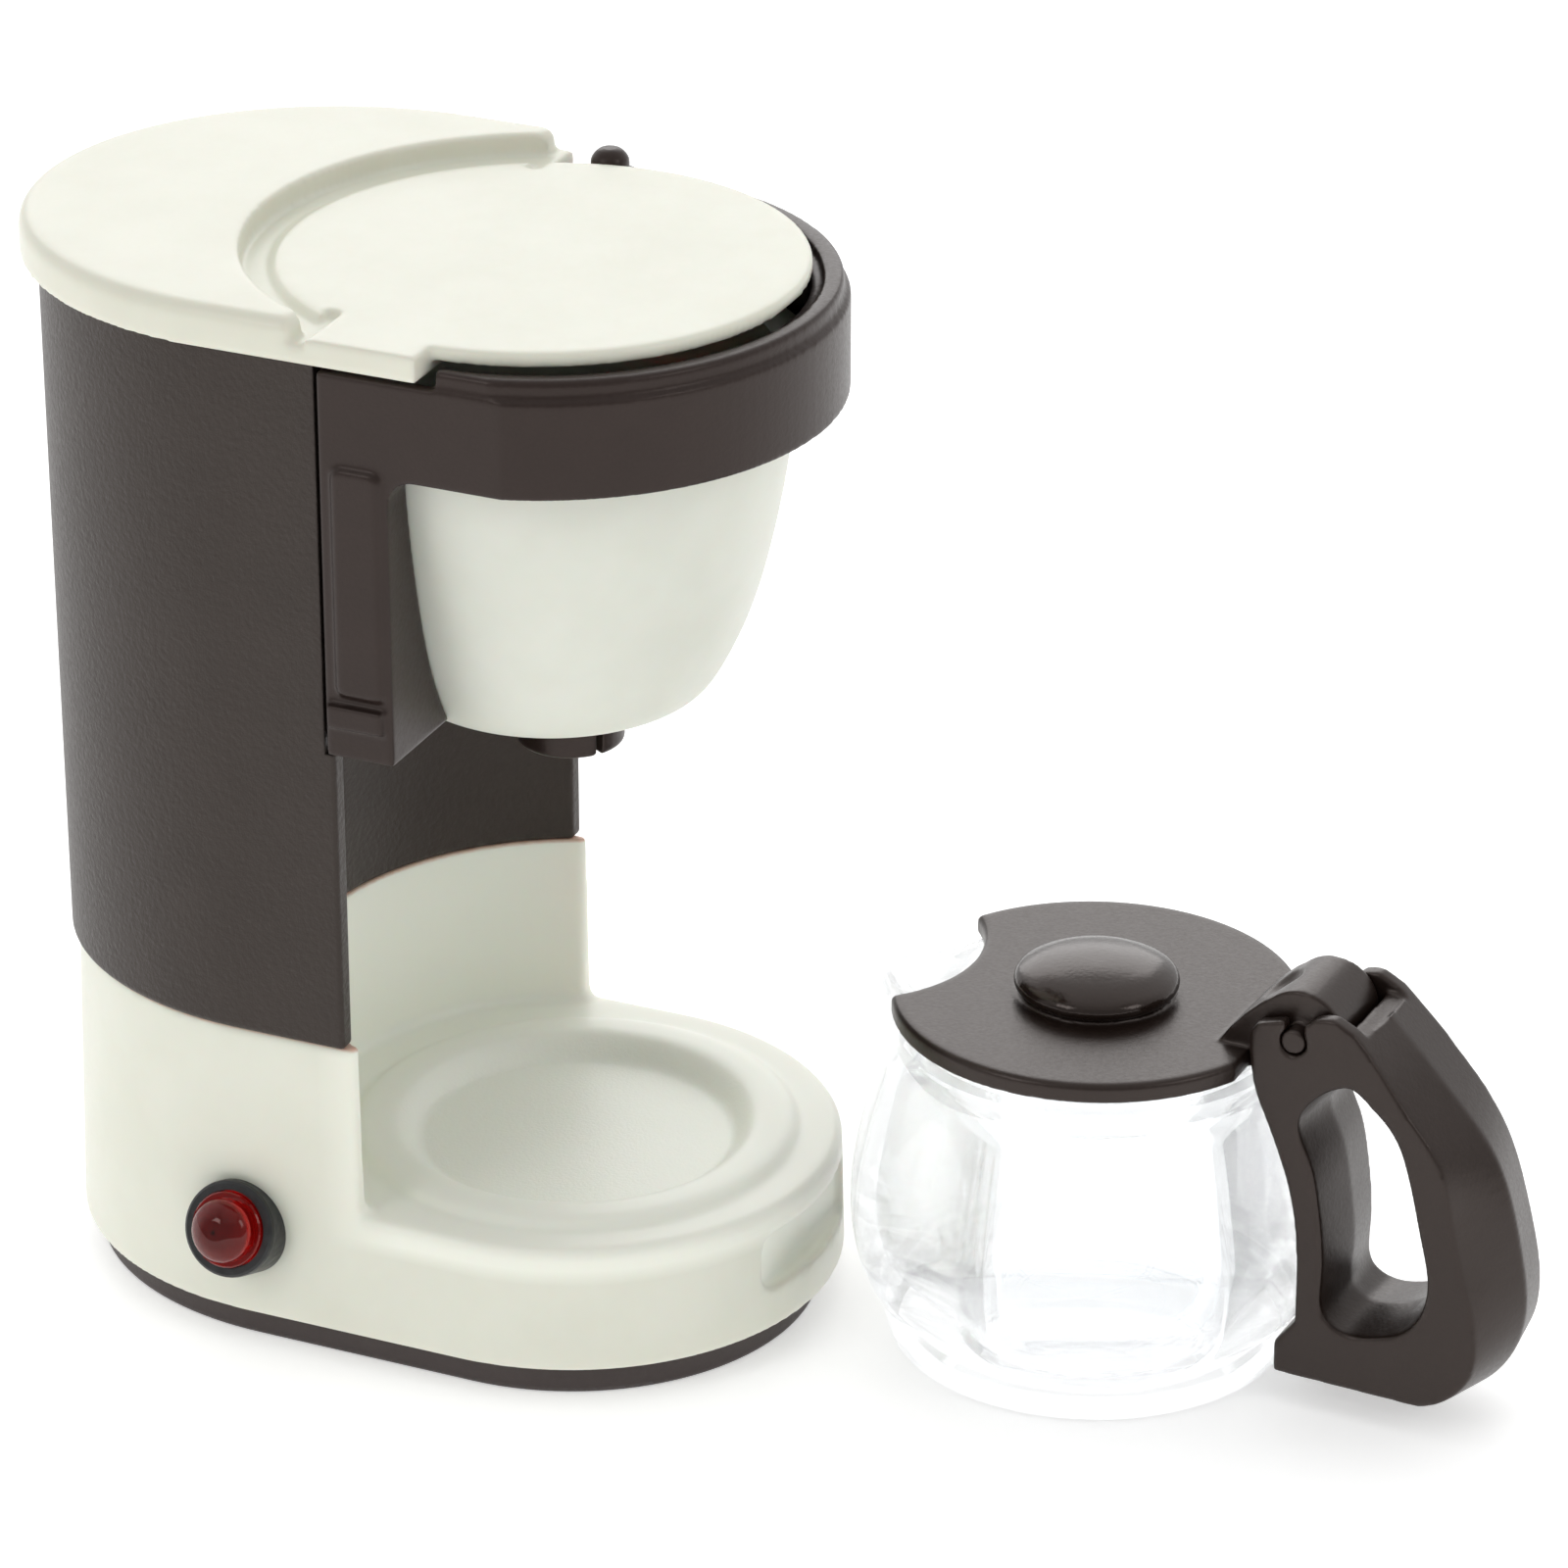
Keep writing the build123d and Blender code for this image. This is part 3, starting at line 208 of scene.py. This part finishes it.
    def soft_edges(self, radius):
        """Small moulded radius on sharp edges; comes before any bump."""
        b = self.nt.nodes.new("ShaderNodeBevel")
        b.samples = 4
        b.inputs["Radius"].default_value = radius
        self._normal = b.outputs["Normal"]
        self.link(self._normal, self.bsdf.inputs["Normal"])
        return self

    def to(self, socket, value):
        self.link(value, self.bsdf.inputs[socket])
        return self


# ---------------------------------------------------------------- materials
def brown(name, dark, light, rough, grain, grain_scale, spec=0.5, edges=0.0, depth=0.00004, polished=None):
    """polished is (x, y, radius, z): the part above z and nearer than radius to that upright axis is glossy."""
    m = Mat(name)
    if edges:
        m.soft_edges(edges)
    cloud = m.noise(260, 3.0, 0.6)
    fine = m.noise(grain_scale, 3.0, 0.65)
    both = m.math("ADD", m.math("MULTIPLY", cloud, 0.5), m.math("MULTIPLY", fine, 0.5))
    m.to("Base Color", m.ramp(both, [(0.30, dark), (0.70, light)]))
    dull = m.span(fine, rough - 0.05, rough + 0.06, 0.3, 0.7)
    if polished:
        px, py, pr, pz = polished
        shiny = m.math(
            "MULTIPLY",
            m.span(m.radius(px, py), 1.0, 0.0, pr, pr + 0.0002),
            m.span(m.xyz()[2], 0.0, 1.0, pz, pz + 0.0002),
        )
        dull = m.math("SUBTRACT", dull, m.math("MULTIPLY", shiny, rough - 0.17))
    m.to("Roughness", dull)
    m.set(spec=spec, ior=1.5, spec_tint=(1.0, 0.87, 0.82, 1.0))
    cells = m.voronoi(grain_scale * 0.8, "SMOOTH_F1")
    m.bump(m.math("ADD", m.math("MULTIPLY", cells, 0.5), fine), grain, depth)
    return m.mat


def cream(name, a, b, rough, edges=0.0):
    m = Mat(name)
    if edges:
        m.soft_edges(edges)
    cloud = m.noise(180, 3.0, 0.55)
    fine = m.noise(3200, 2.0, 0.5)
    m.tint = m.ramp(cloud, [(0.35, a), (0.65, b)])
    m.to("Base Color", m.tint)
    m.to("Roughness", m.span(fine, rough - 0.04, rough + 0.05, 0.3, 0.7))
    m.set(spec=0.45, ior=1.5, sss=0.12, sss_scale=0.0012)
    m.bump(fine, 0.10, 0.00002)
    return m


COL_BROWN = brown("brown_grained", srgb(38, 33, 29), srgb(48, 42, 38), 0.42, 0.60, 4000, 0.42, 0.00016, 0.00007)
RING_BROWN = brown("brown_satin", srgb(34, 25, 22), srgb(42, 32, 29), 0.34, 0.22, 5200, 0.38, 0.0)
JUG_BROWN = brown("brown_jug", srgb(26, 18, 14), srgb(34, 25, 21), 0.33, 0.18, 5600, 0.52, 0.0, polished=(0.00581, -0.02518, 0.0042, 0.01845))
FOOT_BROWN = brown("brown_foot", srgb(52, 46, 46), srgb(62, 56, 56), 0.46, 0.35, 3600, 0.5, 0.00012)

house = cream("cream_housing", srgb(228, 229, 214), srgb(232, 233, 219), 0.36, 0.00018)
# the dish of the warming plate has an etched surface
r_plate = house.radius(0.0, 0.0)
z_plate = house.xyz()[2]
in_dish = house.math(
    "MULTIPLY",
    house.span(r_plate, 1.0, 0.0, 0.0086, 0.0093),
    house.span(z_plate, 1.0, 0.0, 0.0087, 0.0091),
)
house.bump(house.noise(6500, 2.0, 0.6), house.math("MULTIPLY", in_dish, 0.55), 0.00004)
# a fine warm line of flash where the tower meets the housing
flash = house.nt.nodes.new("ShaderNodeMix")
flash.data_type = "RGBA"
house.link(house.span(z_plate, 0.0, 1.0, 0.01722, 0.01736), flash.inputs[0])
# painted light: the hollow and the deck get a lighter cream than the outside, because little light reaches them
painted_light_mask = house.math(
    "MULTIPLY",
    house.span(house.radius(0.0, 0.0), 1.0, 0.0, 0.0135, 0.0150),
    house.span(z_plate, 0.0, 1.0, 0.0066, 0.0074),
)
# the inside of the recess in the front wall gets the same painted light
y_front = house.xyz()[1]
recess_painted_light = house.math(
    "MULTIPLY",
    house.math("MULTIPLY", house.span(y_front, 1.0, 0.0, -0.0119, -0.0117), house.span(house.radius(0.0, 0.0), 1.0, 0.0, 0.0127, 0.0130)),
    house.math("MULTIPLY", house.span(z_plate, 1.0, 0.0, 0.0068, 0.0072), house.span(z_plate, 0.0, 1.0, 0.0038, 0.0042)),
)
painted_light_mask = house.math("MAXIMUM", painted_light_mask, recess_painted_light)
# mix in the lighter cream that paints light into the hollow, the deck and the recess
bright = house.nt.nodes.new("ShaderNodeMix")
bright.data_type = "RGBA"
house.link(painted_light_mask, bright.inputs[0])
house.link(house.tint, bright.inputs[6])
bright.inputs[7].default_value = srgb(249, 251, 238)
house.link(bright.outputs[2], flash.inputs[6])
flash.inputs[7].default_value = srgb(226, 196, 176)
house.to("Base Color", flash.outputs[2])
HOUSE = house.mat
COVER = cream("cream_cover", srgb(223, 223, 207), srgb(227, 227, 212), 0.34).mat
CUP = cream("cup_white", srgb(222, 224, 212), srgb(227, 229, 218), 0.42).mat

bez = Mat("lamp_black")
bez_n = bez.noise(2600, 4.0, 0.7)
bez.to("Base Color", bez.ramp(bez_n, [(0.3, srgb(20, 21, 22)), (0.75, srgb(36, 37, 39))]))
bez.to("Roughness", bez.span(bez_n, 0.28, 0.5, 0.3, 0.7))
bez.bump(bez.voronoi(2300, "SMOOTH_F1"), 0.5, 0.00006)
BEZEL = bez.mat

red = Mat("lamp_red")
red.set(trans=0.88, ior=1.49, rough=0.02, spec=0.6, spec_tint=(1.0, 0.72, 0.68, 1.0))
# distance from the tilted axis of the lamp: the dark post shows through in the middle of the dome
rx, ry, rz = red.xyz()
tilt = math.radians(20)
across = red.math(
    "ADD",
    red.math("MULTIPLY", red.math("ADD", rx, 0.01314), math.sin(tilt)),
    red.math("MULTIPLY", red.math("SUBTRACT", rz, 0.00663), math.cos(tilt)),
)
aside = red.math("SUBTRACT", ry, 0.01177)
off_axis = red.math("SQRT", red.math("ADD", red.math("MULTIPLY", across, across), red.math("MULTIPLY", aside, aside)))
depth = red.span(off_axis, 0.0, 1.0, 0.0, 0.0019)
cloudy = red.math("ADD", depth, red.math("MULTIPLY", red.math("SUBTRACT", red.noise(1500, 3.0, 0.6), 0.5), 0.35))
red.to("Base Color", red.ramp(cloudy, [(0.03, (0.06, 0.004, 0.004)), (0.14, (0.42, 0.020, 0.020)), (0.42, (0.50, 0.006, 0.005)), (0.85, (0.90, 0.006, 0.004))]))
red.bump(red.noise(700, 1.0, 0.4), 0.05, 0.00003)
RED = red.mat

glass = Mat("jug_clear")
glass.set(trans=1.0, ior=1.38, rough=0.0)
glass.to("Base Color", glass.ramp(glass.noise(120, 2.0, 0.5), [(0.3, (0.965, 0.975, 0.985)), (0.7, (0.985, 0.99, 0.995))]))
glass.bump(glass.noise(420, 2.0, 0.45), 0.10, 0.00010)
clear = glass.nt.nodes.new("ShaderNodeBsdfTransparent")
clear.inputs["Color"].default_value = (0.985, 0.99, 0.995, 1)
half = glass.nt.nodes.new("ShaderNodeMixShader")
half.inputs[0].default_value = 0.45
glass.link(glass.bsdf.outputs[0], half.inputs[1])
glass.link(clear.outputs[0], half.inputs[2])
glass.link(half.outputs[0], glass.out.inputs[0])
GLASS = glass.mat

steel = Mat("steel")
steel.set(metal=1.0)
st = steel.noise(2500, 3.0, 0.6, stretch=(1, 1, 0.15))
steel.to("Base Color", steel.ramp(st, [(0.3, (0.50, 0.50, 0.49)), (0.7, (0.66, 0.65, 0.63))]))
steel.to("Roughness", steel.span(st, 0.22, 0.40, 0.3, 0.7))
steel.bump(st, 0.2, 0.00002)
STEEL = steel.mat


def paint(node, mat):
    o = NODES[node]
    o.data.materials.clear()
    o.data.materials.append(mat)
    for p in o.data.polygons:
        p.material_index = 0


paint("base_housing", HOUSE)
paint("bottom_plate", FOOT_BROWN)
paint("column_shell", COL_BROWN)
paint("top_cover", COVER)
paint("holder_frame", RING_BROWN)
paint("filter_cup", CUP)
paint("drip_nozzle", RING_BROWN)
paint("hinge_pin", RING_BROWN)
paint("lamp_bezel", BEZEL)
paint("lamp_lens", RED)
paint("lamp_collar", BEZEL)
paint("lamp_leads", STEEL)
for n in ("bottom_screws", "column_screws", "cover_screws"):
    paint(n, STEEL)
paint("jug_glass", GLASS)
paint("jug_handle", JUG_BROWN)
paint("jug_lid", JUG_BROWN)


# ------------------------------------------------------------- mesh helpers
def rounded(points, radius, steps=4):
    """A 2D polyline with its corners rounded; the end points stay."""
    out = [points[0]]
    for i in range(1, len(points) - 1):
        p0, p, p1 = Vector(points[i - 1]), Vector(points[i]), Vector(points[i + 1])
        a, b = p0 - p, p1 - p
        la, lb = a.length, b.length
        if la < 1e-9 or lb < 1e-9:
            continue
        turn = math.pi - a.angle(b)
        if turn < 0.12:
            out.append(tuple(p))
            continue
        cut = min(radius * math.tan(turn / 2), la * 0.48, lb * 0.48)
        s, e = p + a.normalized() * cut, p + b.normalized() * cut
        for k in range(steps + 1):
            t = k / steps
            out.append(tuple((1 - t) ** 2 * s + 2 * (1 - t) * t * p + t * t * e))
    out.append(points[-1])
    return out


def flow(points, per=6):
    """Catmull-Rom curve through 2D points."""
    pts = [Vector(p) for p in points]
    pts = [pts[0] * 2 - pts[1]] + pts + [pts[-1] * 2 - pts[-2]]
    out = []
    for i in range(1, len(pts) - 2):
        p0, p1, p2, p3 = pts[i - 1 : i + 3]
        for k in range(per):
            t = k / per
            out.append(
                tuple(
                    0.5
                    * (
                        2 * p1
                        + (p2 - p0) * t
                        + (2 * p0 - 5 * p1 + 4 * p2 - p3) * t * t
                        + (3 * p1 - p0 - 3 * p2 + p3) * t ** 3
                    )
                )
            )
    out.append(tuple(pts[-2]))
    return out


def dense(points, step):
    """The same polyline with no run longer than step."""
    out = [points[0]]
    for a, b in zip(points, points[1:]):
        n = max(1, math.ceil(math.dist(a, b) / step))
        for k in range(1, n + 1):
            out.append((a[0] + (b[0] - a[0]) * k / n, a[1] + (b[1] - a[1]) * k / n))
    return out


def add_mesh(name, verts, faces, mat, body, smooth=True):
    me = bpy.data.meshes.new(name)
    me.from_pydata([tuple(v) for v in verts], [], faces)
    me.validate()
    me.update()
    for p in me.polygons:
        p.use_smooth = smooth
    me.materials.append(mat)
    o = bpy.data.objects.new(name, me)
    scene.collection.objects.link(o)
    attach(o, body)
    return o


def turned(name, profile, seg, point, mat, body):
    """Closed body of revolution. profile runs from the axis to the axis as (r, z); point(r, z, theta, i)
    gives the place of one vertex."""
    verts, faces = [], []
    first, last = 0, len(profile) - 1
    verts.append(point(*profile[first], 0.0, first))
    for i in range(1, last):
        for k in range(seg):
            verts.append(point(*profile[i], 2 * math.pi * k / seg, i))
    verts.append(point(*profile[last], 0.0, last))
    end = len(verts) - 1

    def v(i, k):
        return 1 + (i - 1) * seg + k % seg

    for k in range(seg):
        faces.append((0, v(1, k + 1), v(1, k)))
        for i in range(1, last - 1):
            faces.append((v(i, k), v(i, k + 1), v(i + 1, k + 1), v(i + 1, k)))
        faces.append((v(last - 1, k), v(last - 1, k + 1), end))
    return add_mesh(name, verts, faces, mat, body)


def arc_lip(cx, cy, r0, r1, z0, z1, a0, a1, seg=96):
    """Part of a flat ring, in mm and degrees, as (verts, faces)."""
    verts, faces = [], []
    for k in range(seg + 1):
        t = math.radians(a0 + (a1 - a0) * k / seg)
        for r, z in ((r0, z0), (r1, z0), (r1, z1), (r0, z1)):
            verts.append((cx + r * math.cos(t), cy + r * math.sin(t), z))
    for k in range(seg):
        for i in range(4):
            a, b = 4 * k + i, 4 * k + (i + 1) % 4
            faces.append((a, b, b + 4, a + 4))
    faces += [(3, 2, 1, 0), (4 * seg, 4 * seg + 1, 4 * seg + 2, 4 * seg + 3)]
    return verts, faces


def bar(x0, x1, y0, y1, z0, z1):
    """Plain block in mm, as (verts, faces)."""
    verts = [(x, y, z) for x in (x0, x1) for y in (y0, y1) for z in (z0, z1)]
    return verts, [(0, 1, 3, 2), (4, 6, 7, 5), (0, 4, 5, 1), (2, 3, 7, 6), (0, 2, 6, 4), (1, 5, 7, 3)]


def softened(node, body, mat, voxel, rounds, keep=1.0, extras=()):
    """The CAD shape as an even mesh whose edges are eased like a moulding's. It stands for the node.
    extras are small closed shapes that the moulding has besides."""
    mesh = NODES[node].data.copy()
    mesh.transform(Matrix.Scale(1000.0, 4))
    if extras:
        bm = bmesh.new()
        bm.from_mesh(mesh)
        for verts, faces in extras:
            vs = [bm.verts.new(v) for v in verts]
            for f in faces:
                bm.faces.new([vs[i] for i in f])
        bmesh.ops.recalc_face_normals(bm, faces=bm.faces)
        bm.to_mesh(mesh)
        bm.free()
    o = bpy.data.objects.new(node + "_moulded", mesh)
    scene.collection.objects.link(o)
    even = o.modifiers.new("even", "REMESH")
    even.mode = "VOXEL"
    even.voxel_size = voxel
    ease = o.modifiers.new("ease", "SMOOTH")
    ease.factor = 0.5
    ease.iterations = rounds
    if keep < 1.0:
        lighter = o.modifiers.new("lighter", "DECIMATE")
        lighter.ratio = keep
    bpy.context.view_layer.update()
    done = bpy.data.meshes.new_from_object(o.evaluated_get(bpy.context.evaluated_depsgraph_get()))
    o.modifiers.clear()
    o.data = done
    bpy.data.meshes.remove(mesh)
    # the even mesh can leave specks of a few faces inside the wall
    bm = bmesh.new()
    bm.from_mesh(done)
    seen, specks = set(), []
    for first in bm.verts:
        if first in seen:
            continue
        seen.add(first)
        bit, todo = [first], [first]
        while todo:
            for e in todo.pop().link_edges:
                for v in e.verts:
                    if v not in seen:
                        seen.add(v)
                        bit.append(v)
                        todo.append(v)
        if len(bit) < 100:
            specks += bit
    bmesh.ops.delete(bm, geom=specks, context="VERTS")
    bm.to_mesh(done)
    bm.free()
    done.name = node + "_moulded"
    done.transform(Matrix.Scale(0.001, 4))
    done.materials.clear()
    done.materials.append(mat)
    for p in done.polygons:
        p.use_smooth = True
        p.material_index = 0
    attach(o, body)
    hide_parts(node)
    print("softened", node, len(done.vertices), "points")
    return o


softened(
    "holder_frame", "holder", RING_BROWN, 0.12, 10,
    extras=[arc_lip(0, 0.85, 12.35, 13.3, 52.2, 52.95, 190, 350), bar(-14.05, -13.3, 2.95, 5.85, 34.85, 36.0)],
)
softened("drip_nozzle", "holder", RING_BROWN, 0.08, 6)
softened("jug_handle", "jug", JUG_BROWN, 0.10, 16)
softened("jug_lid", "lid", JUG_BROWN, 0.10, 8)
softened("top_cover", "machine", COVER, 0.15, 8)
softened("base_housing", "machine", HOUSE, 0.20, 3, 0.35)


# ---------------------------------------------------------------- jug glass
JX, JY, JA = 5.81, -25.18, math.radians(-93.0)


def jug_point(r, theta, z):
    """Jug coordinates in mm: radius, angle from the handle, height."""
    return Vector((JX + r * math.cos(JA + theta), JY + r * math.sin(JA + theta), z)) * MM


def smoothstep(a, b, x):
    t = min(1.0, max(0.0, (x - a) / (b - a)))
    return t * t * (3 - 2 * t)


def jug_glass():
    from mathutils import noise

    outer = [(0.0, 0.35), (3.45, 0.35), (3.45, 0.60), (3.75, 0.60), (3.75, 0.35), (6.2, 0.35), (6.5, 0.0), (9.45, 0.0)]
    outer += [(9.88, 0.17), (10.05, 0.60), (10.05, 1.45), (10.34, 1.68), (10.34, 2.70)]
    belly = flow(
        [(11.02, 3.15), (11.42, 4.10), (11.72, 5.40), (11.85, 7.00), (11.72, 9.00), (11.36, 11.00), (10.86, 13.00), (10.22, 15.00), (9.72, 16.35)],
        6,
    )
    top = [(9.72, 16.60), (9.30, 16.85), (9.30, 17.30)]
    rim = [(8.45, 17.30)]
    out_line = dense(rounded(outer + belly + top + rim, 0.09), 0.55)
    # height and flat distance of the panelled inside, from the neck down
    inner = flow([(8.45, 15.4), (8.40, 14.9), (8.28, 14.4), (8.62, 12.6), (9.00, 10.5), (9.30, 8.3), (9.35, 7.0), (9.20, 5.4), (8.85, 3.9), (8.45, 3.0)], 6)
    floor_line = [(7.9, 2.38), (7.2, 2.30), (0.0, 2.30)]
    in_line = dense(rounded([(8.45, 17.30)] + inner + floor_line, 0.25), 0.55)[1:]
    profile = out_line + in_line
    n_out = len(out_line)
    z_rim = 17.30

    def panel(theta, a, sharp):
        """Radius of a six sided cross section with soft corners, flats at 0, 60, ... degrees."""
        s = 0.0
        for k in range(6):
            c = math.cos(theta - math.radians(60 * k))
            if c > 0:
                s += c ** sharp
        return a / s ** (1.0 / sharp)

    def spout(theta):
        d = abs((theta - math.pi + math.pi) % (2 * math.pi) - math.pi)
        half = math.radians(19)
        return max(0.0, 1 - (d / half) ** 2) ** 1.6 if d < half else 0.0

    def point(r, z, theta, i):
        w = spout(theta)
        if i < n_out:
            if w and z > 14.2 and r > 8.6:
                r += w * 1.75 * smoothstep(14.4, 17.0, z)
            elif w and z >= z_rim - 0.02:
                r += w * 1.60
            if 3.3 < z < 16:
                r += 0.012 * noise.noise(Vector((math.cos(theta) * 2.2, math.sin(theta) * 2.2, z * 0.22)))
            return jug_point(r, theta, z)
        # inside
        mix = smoothstep(14.95, 14.1, z)
        if z < 14.95 and r > 1.0:
            flat = panel(theta, r, 30)
            corner = abs(abs(math.degrees(math.atan2(math.sin(theta * 1), math.cos(theta * 1)))) % 60 - 30)
            arc = math.radians(corner) * r * 1.1
            ripple = 0.045 * math.cos(2 * math.pi * arc / 0.62) * math.exp(-((arc / 1.35) ** 2))
            fade = smoothstep(2.4, 3.6, z) * smoothstep(14.6, 13.0, z)
            r = r + (flat - r) * mix * smoothstep(2.2, 2.9, z) if z > 2.32 else r
            r += ripple * fade + 0.035 * fade * noise.noise(Vector((math.cos(theta) * 3.1, math.sin(theta) * 3.1, z * 0.35)))
        if w and z > 15.6:
            r += w * 1.55 * smoothstep(15.6, 17.1, z)
        return jug_point(r, theta, z)

    o = turned("jug_body_clear", profile, 240, point, GLASS, "jug")
    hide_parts("jug_glass")
    return o


jug_glass()


# ----------------------------------------------------------- floor and light
def floor():
    bm = bmesh.new()
    rings, seg = [0.0, 0.12, 0.3, 0.8, 2.0, 6.0], 64
    centre = bm.verts.new((0, 0, 0))
    loops = []
    for r in rings[1:]:
        loops.append([bm.verts.new((r * math.cos(t), r * math.sin(t), 0)) for t in (2 * math.pi * k / seg for k in range(seg))])
    for k in range(seg):
        bm.faces.new((centre, loops[0][k], loops[0][(k + 1) % seg]))
        for a, b in zip(loops, loops[1:]):
            bm.faces.new((a[k], b[k], b[(k + 1) % seg], a[(k + 1) % seg]))
    me = bpy.data.meshes.new("floor")
    bm.to_mesh(me)
    bm.free()
    o = bpy.data.objects.new("floor", me)
    scene.collection.objects.link(o)
    m = Mat("floor_white")
    m.to("Base Color", m.ramp(m.noise(6, 2.0, 0.5), [(0.3, (0.965, 0.965, 0.96)), (0.7, (0.975, 0.975, 0.97))]))
    m.set(rough=0.9, spec=0.1)
    m.bsdf.inputs["Emission Color"].default_value = (1, 1, 1, 1)
    m.bsdf.inputs["Emission Strength"].default_value = 0.41
    me.materials.append(m.mat)
    return o


floor()

world = bpy.data.worlds.new("studio")
scene.world = world
world.use_nodes = True
wn = world.node_tree
wn.nodes.clear()
w_out = wn.nodes.new("ShaderNodeOutputWorld")
w_bg = wn.nodes.new("ShaderNodeBackground")
w_tc = wn.nodes.new("ShaderNodeTexCoord")
w_dot = wn.nodes.new("ShaderNodeVectorMath")
w_dot.operation = "DOT_PRODUCT"
w_dot.inputs[1].default_value = (0.914, 0.407, 0.0)
w_map = wn.nodes.new("ShaderNodeMapRange")
w_map.inputs["From Min"].default_value = -1.0
w_map.inputs["From Max"].default_value = 1.0
w_ramp = wn.nodes.new("ShaderNodeValToRGB")
wn.links.new(w_tc.outputs["Generated"], w_dot.inputs[0])
wn.links.new(w_dot.outputs["Value"], w_map.inputs["Value"])
wn.links.new(w_map.outputs["Result"], w_ramp.inputs[0])
wn.links.new(w_ramp.outputs[0], w_bg.inputs["Color"])
wn.links.new(w_bg.outputs[0], w_out.inputs[0])
# a bright backdrop behind the object, a dimmer room in front of it
we = w_ramp.color_ramp.elements
we[0].position, we[0].color = 0.30, (0.42, 0.42, 0.42, 1)
we[1].position, we[1].color = 0.66, (1.0, 1.0, 1.0, 1)
w_bg.inputs["Strength"].default_value = 1.0


def area(name, loc, target, size, energy, size_y=None, color=(1, 1, 1)):
    d = bpy.data.lights.new(name, "AREA")
    d.shape = "RECTANGLE"
    d.size = size
    d.size_y = size_y or size
    d.energy = energy
    d.color = color
    o = bpy.data.objects.new(name, d)
    scene.collection.objects.link(o)
    o.location = loc
    o.rotation_euler = (Vector(target) - Vector(loc)).to_track_quat("-Z", "Y").to_euler()
    return o


area("top_soft", (-0.22, -0.12, 0.55), (0, -0.01, 0.03), 0.45, 0.12)
area("box_left", (-0.52, 0.25, 0.44), (0, -0.01, 0.03), 0.22, 0.56, 0.28)
area("box_front", (-0.12, -0.60, 0.44), (0, -0.01, 0.03), 0.22, 0.46, 0.28)
area("back_soft", (0.60, 0.28, 0.34), (0, -0.01, 0.03), 0.60, 1.20, 0.40)
